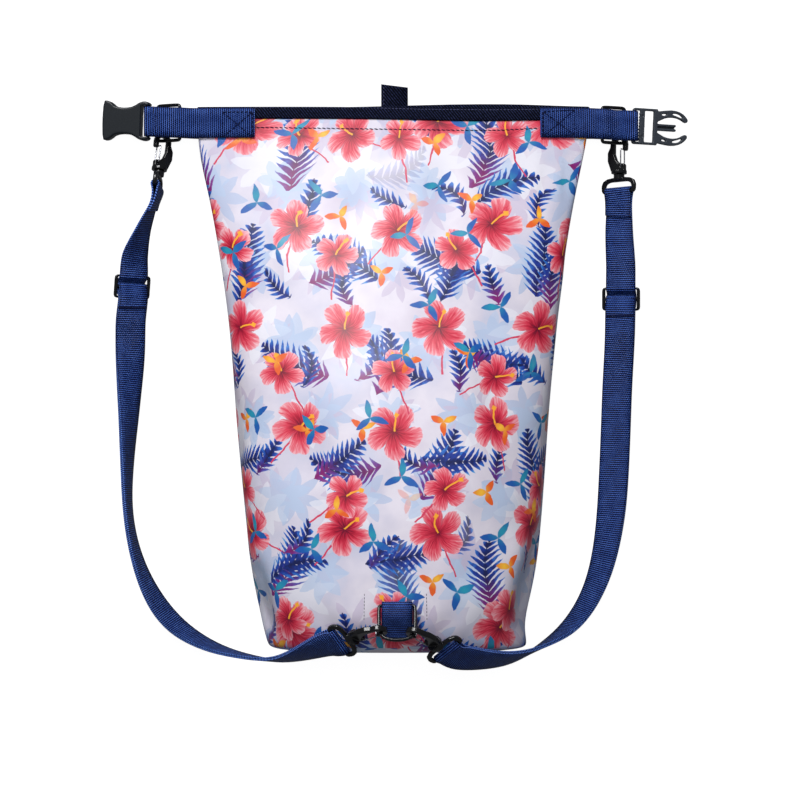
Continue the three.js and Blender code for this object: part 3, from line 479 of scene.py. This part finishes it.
# Mouth binding: dark grosgrain tape folded over the raw edge all round the mouth.
# It is glued and sewn to both faces of the cloth, and its ribs run aslant.
TAPE_RIB_MM = 2.5
TAPE_SLANT = 0.8
tape_ribs, tape_shader, (tape_x, tape_y, tape_z) = material("grosgrain")
ribs = ((tape_x + tape_y * TAPE_SLANT) * (math.tau / TAPE_RIB_MM)).sin()
tape_tone = tape_x.cloud(tape_y, tape_z, 0.9, 4.0) * 0.9 + ribs * 0.36 - 0.12
joined(
    tape_shader,
    Base_Color=tape_tone.ramp((0.1, dye(1, 2, 8)), (0.45, dye(6, 9, 23)), (0.8, dye(42, 48, 82))),
    Roughness=0.85,
    Specular_IOR_Level=0.05,
    Normal=tape_x.node("ShaderNodeBump", {"Strength": 0.5, "Distance": 0.0002, "Height": ribs}),
)
binding_shape = welded("mouth_binding")
paired(binding_shape)
binding_mesh = stored("mouth_tape", binding_shape)
binding = placed("mouth_tape", binding_mesh, "bag", "binding_tape", tape_ribs, "mouth_binding")
subdivided(binding, 1)

# Front seam: a row of dark lockstitch below the binding, from one tail to the other.
# Each stitch is a short length of thread that lies on the cloth, a little aslant.
OVERHEAD_MM = 300
STITCH_LIFT = 0.28
thread, thread_shader, (thread_x, thread_y, thread_z) = material("dark_thread")
strand = thread_x.cloud(thread_y, thread_z, 1.4, 3.0)
joined(
    thread_shader,
    Base_Color=strand.ramp((0.3, dye(5, 9, 30)), (0.7, dye(20, 28, 70))),
    Roughness=0.7,
    Specular_IOR_Level=0.1,
    Normal=strand.node("ShaderNodeBump", {"Strength": 0.3, "Distance": 0.0002, "Height": strand}),
)


def stitched(name, slot, carrier, yarn, lines, pitch, length, thick, lean=0.0):
    """Rows of stitches, all in mm, along lines as seen from above, dropped on a piece from overhead"""
    surface = BVHTree.FromObject(carrier, bpy.context.evaluated_depsgraph_get())
    shape = bmesh.new()
    for x0, y0, x1, y1 in lines:
        start = Vector((x0, y0, OVERHEAD_MM)) / 1000
        end = Vector((x1, y1, OVERHEAD_MM)) / 1000
        course = (end - start).normalized()
        course.rotate(Matrix.Rotation(lean, 3, "Z"))
        count = max(1, round((end - start).length * 1000 / pitch))
        for index in range(count):
            overhead = start.lerp(end, (index + 0.5) / count)
            spot, normal, _, _ = surface.ray_cast(overhead, Vector((0, 0, -1)))
            if spot is None:
                continue
            side = normal.cross(course).normalized()
            lay = Matrix((side, normal, side.cross(normal))).transposed().to_4x4()
            lay.translation = spot + normal * (thick * STITCH_LIFT / 1000)
            size = Matrix.Diagonal((thick / 2000, thick / 2400, length / 2000, 1))
            bmesh.ops.create_uvsphere(shape, u_segments=6, v_segments=5, radius=1, matrix=lay @ size)
    return placed(name, stored(name, shape), "bag", slot, yarn)


stitched(
    "front_seam_stitches", "printed_fabric", bag, thread,
    [(-115, 210.4, -40, 209.2), (-40, 209.2, 60, 207.6), (60, 207.6, 90, 207.8), (90, 207.8, 121, 209.6)],
    pitch=4.0, length=3.5, thick=0.85, lean=-0.2,
)

# Binding edge: a row of stitches in a paler thread, close to the fold of the tape, from tail to tail.
# It holds both faces of the tape to the cloth between them.
pale_thread, pale_shader, (pale_x, pale_y, pale_z) = material("pale_thread")
joined(
    pale_shader,
    Base_Color=pale_x.cloud(pale_y, pale_z, 1.4, 3.0).ramp((0.3, dye(58, 60, 88)), (0.7, dye(96, 98, 130))),
    Roughness=0.7,
    Specular_IOR_Level=0.1,
)
stitched(
    "binding_edge_stitches", "binding_tape", binding, pale_thread,
    [(-116, 227.0, -20, 226.8), (-20, 226.8, 20, 225.4), (20, 225.4, 80, 224.8), (80, 224.8, 122, 225.5)],
    pitch=3.0, length=2.2, thick=0.55,
)

# Webbing: flat woven tape in navy, ribbed across, darker in the selvedge along both edges and paler at the
# very edge; its ribs and beads are painted into the colour too, as painted shade in the grooves and painted
# highlight on their tops.
# It is measured from one cut end to the other, so that the weave runs along every bend.
WEBBING_WIDE = 0.025
RIB_MM = 1.75
BEAD_MM = 1.79
SELVEDGE_START, SELVEDGE_FULL = 11.2, 11.8
RIM_START, RIM_FULL = 12.44, 12.5
webbing_cloth, webbing_shader, (across_mm, along_mm, _) = material("navy_webbing", "weave")
rib = (along_mm * (math.tau / RIB_MM)).sin()
stagger = (along_mm / RIB_MM - 0.25).floor() * math.pi
bead = (across_mm * (math.tau / BEAD_MM) + stagger).sin()
relief = rib * 0.64 + bead * (0.3 + 0.14 * rib)
off_centre = abs(across_mm - WEBBING_WIDE * 500)
selvedge = off_centre.rising(SELVEDGE_START, SELVEDGE_FULL)
rim = off_centre.rising(RIM_START, RIM_FULL)
worn = across_mm.cloud(along_mm, 0.0, 0.1, 3.0) - 0.5
# Colour: random wear, a darker selvedge and a paler rim, and the ribs and beads as painted shade in the
# grooves and painted highlight on the tops
webbing_tone_and_shade = relief * 0.58 + worn * 0.4 + 0.32 - selvedge * 0.26 + rim * 0.5
joined(
    webbing_shader,
    Base_Color=webbing_tone_and_shade.ramp(
        (0.1, dye(3, 12, 48)),
        (0.36, dye(13, 38, 102)),
        (0.66, dye(40, 78, 166)),
        (0.95, dye(112, 150, 230)),
    ),
    Roughness=worn * 0.3 + 0.48,
    Specular_IOR_Level=0.22,
    Normal=across_mm.node("ShaderNodeBump", {"Strength": 0.8, "Distance": 0.0005, "Height": relief}),
)


def webbing(node, name, wide):
    """Copy of a webbing solid, measured ring by ring from the cut end, with its long edges kept sharp"""
    shape = welded(node)
    shape.verts.ensure_lookup_table()
    shape.normal_update()
    cap = next(
        corner for corner in shape.verts
        if min(face.normal.dot(corner.link_faces[0].normal) for face in corner.link_faces) > 0.999
    )
    ring = {edge.other_vert(cap) for edge in cap.link_edges}
    measure = {cap: (0.5 * wide, 0.0)}
    ring_of = {cap: -1}
    along, number, centre, first_edge = 0.0, 0, None, None
    while len(ring) == 4:
        corners = sorted(ring, key=lambda corner: corner.index)
        partner = min(corners[1:], key=lambda corner: (corner.co - corners[0].co).length)
        edges = [(corners[0], partner), tuple(corner for corner in corners[1:] if corner is not partner)]
        middles = [(a.co + b.co) / 2 for a, b in edges]
        if first_edge is not None and (middles[1] - first_edge).length < (middles[0] - first_edge).length:
            edges.reverse()
            middles.reverse()
        first_edge = middles[0]
        here = (middles[0] + middles[1]) / 2
        along += (here - centre).length if centre is not None else 0.0
        centre = here
        for side, edge in enumerate(edges):
            for corner in edge:
                measure[corner] = (side * wide, along)
                ring_of[corner] = number
        number += 1
        ring = {edge.other_vert(corner) for corner in ring for edge in corner.link_edges} - measure.keys()
    for corner in ring:
        measure[corner] = (0.5 * wide, along)
        ring_of[corner] = number
    weave_layer = shape.loops.layers.uv.new("weave")
    for face in shape.faces:
        for loop in face.loops:
            loop[weave_layer].uv = measure[loop.vert]
    paired(shape)
    crease = shape.edges.layers.float.new("crease_edge")
    for edge in shape.edges:
        rings = {ring_of[corner] for corner in edge.verts}
        if len(rings) == 2:
            edge[crease] = 1.0
        elif rings & {0, number - 1}:
            edge[crease] = 0.9
    return stored(name, shape)


# Tails: two short tapes sewn over the mouth's corners, front and back, each folded round a buckle half.
# A box of stitches with a cross in it holds each tail.
SIDES = ("left", "right")
TAIL_BOXES = {
    # near x, far x, low y, high y, rise of the far end in mm
    "left": (-142.4, -117.4, 202.2, 223.2, 0.0),
    "right": (125.4, 151.8, 202.6, 223.4, 1.6),
}
# The front ply lifts over the bar of its ring and sinks beyond it.
TAIL_WAVE = [
    # distance outwards from the ring's bar, rise in mm
    (-13, 0.0),
    (0, 3.2),
    (14, -2.6),
    (25, 0.0),
]
RING_ROD = 0.0017


def eased(wave, place):
    """Rise in metres at a place in a table of places and rises in mm, level at each of them"""
    for (start, low), (end, high) in zip(wave, wave[1:]):
        share = (place - start) / (end - start)
        if 0 <= share < 1:
            return (low + (high - low) * share * share * (3 - 2 * share)) / 1000
    return 0.0


for side in SIDES:
    name = "tail_tape_" + side
    tail_mesh = rounded(name, webbing("tail_" + side, name, WEBBING_WIDE), 2)
    ring_low, ring_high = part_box("ring_" + side)
    bar = min(abs(ring_low[0]), abs(ring_high[0])) + RING_ROD
    for corner in tail_mesh.vertices:
        if corner.co.z > ring_high[2] - RING_ROD:
            corner.co.z += eased(TAIL_WAVE, (abs(corner.co.x) - bar) * 1000)
    tail = placed(name, tail_mesh, "bag", "webbing", webbing_cloth, "tail_" + side)
    near, far, low, high, rise = TAIL_BOXES[side]
    corners = [(near, low), (far, low + rise), (far, high + rise), (near, high)]
    sides = [corners[a] + corners[b] for a, b in ((0, 1), (1, 2), (2, 3), (3, 0), (0, 2), (1, 3))]
    stitched(
        "tail_box_stitches_" + side, "webbing", tail, thread, sides,
        pitch=3.4, length=2.7, thick=1.0,
    )

# Hang tab: a short loop of the dark binding tape, folded over and sewn behind the mouth.
# Its fold drops to the right, and a row of paler stitches runs up its left edge.
HANG_WIDE = 0.022
HANG_DROP = 0.0028
HANG_SEAM_INSET, HANG_SEAM_FOOT, HANG_SEAM_STOP = 2.2, 226.6, 2
hang_mesh = webbing("hang_tab", "hang_loop", HANG_WIDE)
hang_low, hang_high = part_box("hang_tab")
for corner in hang_mesh.vertices:
    across = (corner.co.x - hang_low[0]) / (hang_high[0] - hang_low[0])
    up = (corner.co.y - hang_low[1]) / (hang_high[1] - hang_low[1])
    corner.co.y -= HANG_DROP * across**2 * up
hang_tab = placed("hang_loop", hang_mesh, "bag", "binding_tape", tape_ribs, "hang_tab")
subdivided(hang_tab, 1)
hang_edge = hang_low[0] * 1000 + HANG_SEAM_INSET
stitched(
    "hang_loop_stitches", "binding_tape", hang_tab, pale_thread,
    [(hang_edge, HANG_SEAM_FOOT, hang_edge, hang_high[1] * 1000 - HANG_SEAM_STOP)],
    pitch=3.2, length=2.1, thick=0.6,
)

# Base tab: a doubled piece of webbing, sewn to the front near the base edge, which holds the base ring.
# Its upper leg bulges; the patch of cloth under it is sewn down with a row of stitches on either side.
BULGE_START, BULGE_RUN, BULGE_RISE = -0.1835, 0.0225, 0.0042
BULGE_SKEW = 0.7
# A slanting level parts the two legs: y and z of a point on it, and its slope
LEGS_Y, LEGS_Z, LEGS_SLOPE = -0.1848, 0.1152, 0.38
base_mesh = webbing("base_tab", "base_loop", WEBBING_WIDE)
for corner in base_mesh.vertices:
    share = (BULGE_START - corner.co.y) / BULGE_RUN
    lower_leg = corner.co.z < LEGS_Z + LEGS_SLOPE * (corner.co.y - LEGS_Y)
    if 0 < share < 1 and not lower_leg:
        corner.co.z += BULGE_RISE * math.sin(math.pi * share**BULGE_SKEW)
base_tab = placed("base_loop", base_mesh, "bag", "webbing", webbing_cloth, "base_tab")
subdivided(base_tab, 2)
stitched(
    "base_patch_stitches", "printed_fabric", bag, thread,
    [(-23.0, -174.5, -23.4, -197), (27.4, -174.5, 27.8, -197)],
    pitch=2.7, length=2.0, thick=0.5,
)

# Straps: two long shoulder tapes, each folded through a slider and through the eyes of two snap hooks.
# A bar tack across each strap holds the end that comes back from its slider.
BAR_TACKS = {
    # first x, last x, y in mm
    "left": (-230.4, -208.0, 59.8),
    "right": (179.8, 202.6, 53.1),
}
TACK_STEP, TACK_HALF = 0.95, 1.3
# The stiff tape arches up on both sides of its slider.
STRAP_WAVE = [
    # distance above the slider's middle, rise in mm
    (-80, 0.0),
    (-33, 4.8),
    (-10.5, 0.0),
    (10.5, 0.0),
    (34, 4.8),
    (72, 0.0),
]
for side in SIDES:
    name = "shoulder_strap_" + side
    strap_mesh = rounded(name, webbing("strap_" + side, name, WEBBING_WIDE), 2)
    slider_low, slider_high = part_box("slider_" + side)
    slider_y = (slider_low[1] + slider_high[1]) / 2
    for corner in strap_mesh.vertices:
        corner.co.z += eased(STRAP_WAVE, (corner.co.y - slider_y) * 1000)
    strap = placed(name, strap_mesh, "bag", "webbing", webbing_cloth, "strap_" + side)
    first, last, level = BAR_TACKS[side]
    stitched(
        "strap_tack_" + side, "webbing", strap, thread,
        [(x, level - TACK_HALF, x, level + TACK_HALF) for x in np.arange(first, last, TACK_STEP)],
        pitch=2.6, length=2.9, thick=1.0,
    )

# Buckle: two halves moulded in black acetal, with the soft edges and the faint grain of a moulding.
# The half with the prongs has a paler copy of the plastic, painted light for its lit faces, and hangs from
# its bar, turned a little.
# A row of teeth on it grips the tape, and a floor joins its two guide rails.
BUCKLE_GRID = 0.0004
MOULD_ROUNDS = 4
PRONG_BAR = (0.202, 0.2124, 0.0184)
PRONG_DROOP, PRONG_SWING = math.radians(13), math.radians(-2.6)
# Blocks in mm from the bar: their place and size
GUIDE_FLOOR = (28.1, 0, -0.9), (15.4, 2.2, 1.4)
TOOTH_ROW, TOOTH_PITCH, TOOTH_EACH_WAY = 4.85, 2.6, 4
TOOTH_SIZE = (0.9, 1.7, 2.4)


def plastic(name, dark, pale, gloss):
    """Moulded plastic with a fine grain in its colour, gloss and surface"""
    made, shader, (x, y, z) = material(name)
    grain = x.cloud(y, z, 2.2, 3.0)
    joined(
        shader,
        Base_Color=grain.ramp((0.3, dark), (0.7, pale)),
        Roughness=grain * 0.14 + gloss,
        Normal=grain.node("ShaderNodeBump", {"Strength": 0.15, "Distance": 0.0002, "Height": grain}),
    )
    return made


def moulded(node, name, cell, blocks=(), lay=Matrix()):
    """Copy of a hard solid, fused with small blocks, with its edges rounded as a mould leaves them"""
    rough = welded(node)
    for place, size in blocks:
        spread = Matrix.Diagonal(Vector(size) / 1000).to_4x4()
        bmesh.ops.create_cube(rough, size=1, matrix=lay @ Matrix.Translation(Vector(place) / 1000) @ spread)
    mesh = finished(name, stored(name, rough), "REMESH", mode="VOXEL", voxel_size=cell)
    shape = bmesh.new()
    shape.from_mesh(mesh)
    every_axis = {"use_axis_x": True, "use_axis_y": True, "use_axis_z": True}
    for _ in range(MOULD_ROUNDS):
        bmesh.ops.smooth_vert(shape, verts=shape.verts, factor=0.5, **every_axis)
    return stored(name, shape)


prong_lay = Matrix.Translation(PRONG_BAR)
prong_lay @= Matrix.Rotation(PRONG_SWING, 4, "Z") @ Matrix.Rotation(PRONG_DROOP, 4, "Y")
prong_blocks = [GUIDE_FLOOR]
for step in range(-TOOTH_EACH_WAY, TOOTH_EACH_WAY + 1):
    prong_blocks.append(((TOOTH_ROW, TOOTH_PITCH * step, 0), TOOTH_SIZE))
acetal = plastic("black_acetal", dye(9, 15, 21), dye(17, 24, 31), 0.34)
# Paler copy of the acetal for the prong half: painted light on its lit faces
lit_acetal_copy = plastic("acetal_painted_paler", dye(32, 37, 44), dye(58, 64, 73), 0.38)
socket_mesh = moulded("buckle_female", "buckle_socket", BUCKLE_GRID)
placed("buckle_socket", socket_mesh, "bag", "black_plastic", acetal, "buckle_female")
prongs_mesh = moulded("buckle_male", "buckle_prongs", BUCKLE_GRID, prong_blocks, prong_lay)
placed("buckle_prongs", prongs_mesh, "bag", "black_plastic", lit_acetal_copy, "buckle_male")

# Sliders, hooks and eyes: smaller mouldings in the same plastic, tumbled to a glossy black.
# Each slider threads a strap; each eye turns on a stem in its hook's collar.
HOOK_GRID = 0.00035
HOOK_PLACES = ("top_left", "top_right", "low_left", "low_right")
polished = plastic("polished_acetal", dye(6, 6, 8), dye(16, 17, 20), 0.16)
small_pieces = [("slider_" + side, "strap_slider_" + side) for side in SIDES]
for place in HOOK_PLACES:
    small_pieces.append(("hook_" + place, "snap_hook_" + place))
    small_pieces.append(("eye_" + place, "swivel_eye_" + place))
for node, name in small_pieces:
    placed(name, moulded(node, name, HOOK_GRID), "bag", "black_plastic", polished, node)

# Rings: closed loops of round black rod with rounded corners, two in the tails and one in the base tab.
# Each is held between the plies of its tape, and the snap hooks clip on it.
for node in ("ring_left", "ring_right", "base_ring"):
    ring_shape = welded(node)
    paired(ring_shape)
    ring = placed("d_" + node, stored("d_" + node, ring_shape), "bag", "black_plastic", polished, node)
    subdivided(ring, 2)

# Gates: narrow loops of drawn steel wire that spring shut across the hooks' mouths.
# Both feet of a wire sit in its hook's body, and it turns there on a hinge of its own.
steel, steel_shader, (steel_x, steel_y, steel_z) = material("steel_wire")
drawn = steel_x.cloud(steel_y, steel_z, 1.2, 3.0)
joined(
    steel_shader,
    Base_Color=drawn.ramp((0.3, dye(150, 152, 160)), (0.7, dye(200, 202, 208))),
    Metallic=1.0,
    Roughness=drawn * 0.24 + 0.16,
)
for place in HOOK_PLACES:
    node, name = "gate_" + place, "wire_gate_" + place
    gate_shape = welded(node)
    paired(gate_shape)
    gate = placed(name, stored(name, gate_shape), node, "gate_wire", steel, node)
    subdivided(gate, 2)

# Stage: a white table top that glows a little, so that it stays white, under soft light.
# A window light stands beyond the mouth, a weaker light hangs overhead, and a pale room fills the shade.
TABLE_SIZE, TABLE_LEVEL = 4, -0.0003
LIGHT_TARGET = Vector((0, 0, 0.04))
floor_mesh = bpy.data.meshes.new("table_top")
floor_shape = bmesh.new()
table_lay = Matrix.Translation((0, 0, TABLE_LEVEL))
bmesh.ops.create_grid(floor_shape, x_segments=1, y_segments=1, size=TABLE_SIZE, matrix=table_lay)
floor_shape.to_mesh(floor_mesh)
floor_shape.free()
white, white_shader, _ = material("white_table")
joined(
    white_shader,
    Base_Color=dye(120, 120, 122),
    Roughness=0.9,
    Emission_Color=dye(255, 255, 255),
    Emission_Strength=0.96,
)
floor_mesh.materials.append(white)
floor = bpy.data.objects.new("table_top", floor_mesh)
bpy.context.collection.objects.link(floor)
floor.visible_diffuse = False
floor.visible_glossy = False
for name, place, size, power, mirrored in (
    ("window_light", (-0.8, 2.3, 2.1), 1.3, 100, True),
    ("overhead_light", (0.1, 0.5, 2.6), 1.2, 18, False),
):
    light_data = bpy.data.lights.new(name, "AREA")
    light_data.size = size
    light_data.energy = power
    light = bpy.data.objects.new(name, light_data)
    light.location = place
    light.visible_glossy = mirrored
    light.rotation_euler = (LIGHT_TARGET - Vector(place)).to_track_quat("-Z", "Y").to_euler()
    bpy.context.collection.objects.link(light)
world = bpy.data.worlds.new("soft_room")
world.use_nodes = True
room = world.node_tree.nodes["Background"]
room.inputs["Color"].default_value = dye(240, 242, 248)
room.inputs["Strength"].default_value = 0.17
bpy.context.scene.world = world
bpy.context.scene.view_settings.view_transform = "Standard"
